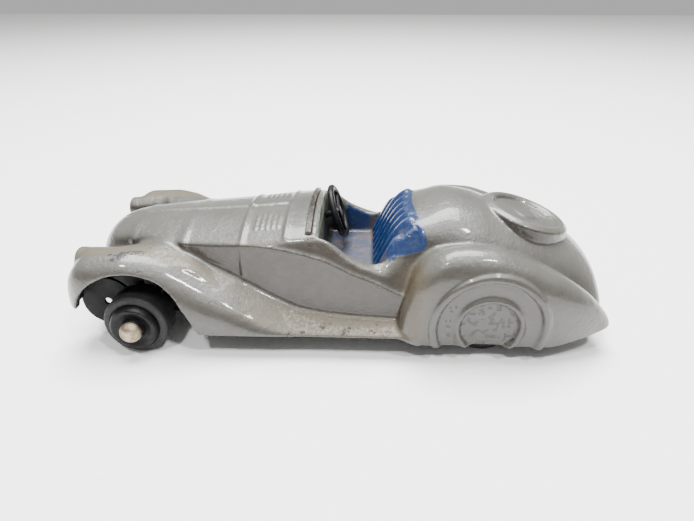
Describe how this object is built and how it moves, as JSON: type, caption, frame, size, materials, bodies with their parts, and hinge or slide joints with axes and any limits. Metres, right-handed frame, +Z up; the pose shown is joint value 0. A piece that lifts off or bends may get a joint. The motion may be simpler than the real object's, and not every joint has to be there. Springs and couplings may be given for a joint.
{
  "type": "diecast collector car",
  "caption": "Open two-seat sports roadster as a small diecast toy: enamelled zinc casting on a pressed baseplate, with rolling wheels on steel axles.",
  "frame": {"origin": "on the ground under the middle of the car, on its centre plane", "axes": "-X is the car's nose, -Y is the car's left side, +Z is up"},
  "size_m": [0.0819, 0.0356, 0.0209],
  "materials": {
    "body_enamel": "worn grey enamel on a zinc casting",
    "base_black": "black paint on pressed tinplate",
    "axle_steel": "plain steel, dulled",
    "hub_black": "black paint on cast hubs",
    "tyre_rubber": "smooth aged black rubber",
    "steering_black": "black paint on a small casting",
    "screen_brown": "aged brown celluloid"
  },
  "bodies": {
    "chassis": {"body_casting": "body_enamel", "baseplate": "base_black", "steering_wheel": "steering_black", "windscreen_stub": "screen_brown"},
    "front_axle": {"front_axle": "axle_steel"},
    "rear_axle": {"rear_axle": "axle_steel"},
    "wheel_front_left": {"hub_front_left": "hub_black", "tyre_front_left": "tyre_rubber"},
    "wheel_front_right": {"hub_front_right": "hub_black", "tyre_front_right": "tyre_rubber"},
    "wheel_rear_left": {"hub_rear_left": "hub_black", "tyre_rear_left": "tyre_rubber"},
    "wheel_rear_right": {"hub_rear_right": "hub_black", "tyre_rear_right": "tyre_rubber"}
  },
  "joints": [
    {"name": "front_axle_spin", "type": "hinge", "parent": "chassis", "child": "front_axle", "pos_m": [-0.0302, 0, 0.0048], "axis": [0, 1, 0], "continuous": true},
    {"name": "rear_axle_spin", "type": "hinge", "parent": "chassis", "child": "rear_axle", "pos_m": [0.0217, 0, 0.0048], "axis": [0, 1, 0], "continuous": true},
    {"name": "wheel_front_left_spin", "type": "hinge", "parent": "front_axle", "child": "wheel_front_left", "pos_m": [-0.0302, -0.013, 0.0048], "axis": [0, 1, 0], "continuous": true},
    {"name": "wheel_front_right_spin", "type": "hinge", "parent": "front_axle", "child": "wheel_front_right", "pos_m": [-0.0302, 0.013, 0.0048], "axis": [0, 1, 0], "continuous": true},
    {"name": "wheel_rear_left_spin", "type": "hinge", "parent": "rear_axle", "child": "wheel_rear_left", "pos_m": [0.0217, -0.0105, 0.0048], "axis": [0, 1, 0], "continuous": true},
    {"name": "wheel_rear_right_spin", "type": "hinge", "parent": "rear_axle", "child": "wheel_rear_right", "pos_m": [0.0217, 0.0105, 0.0048], "axis": [0, 1, 0], "continuous": true}
  ]
}
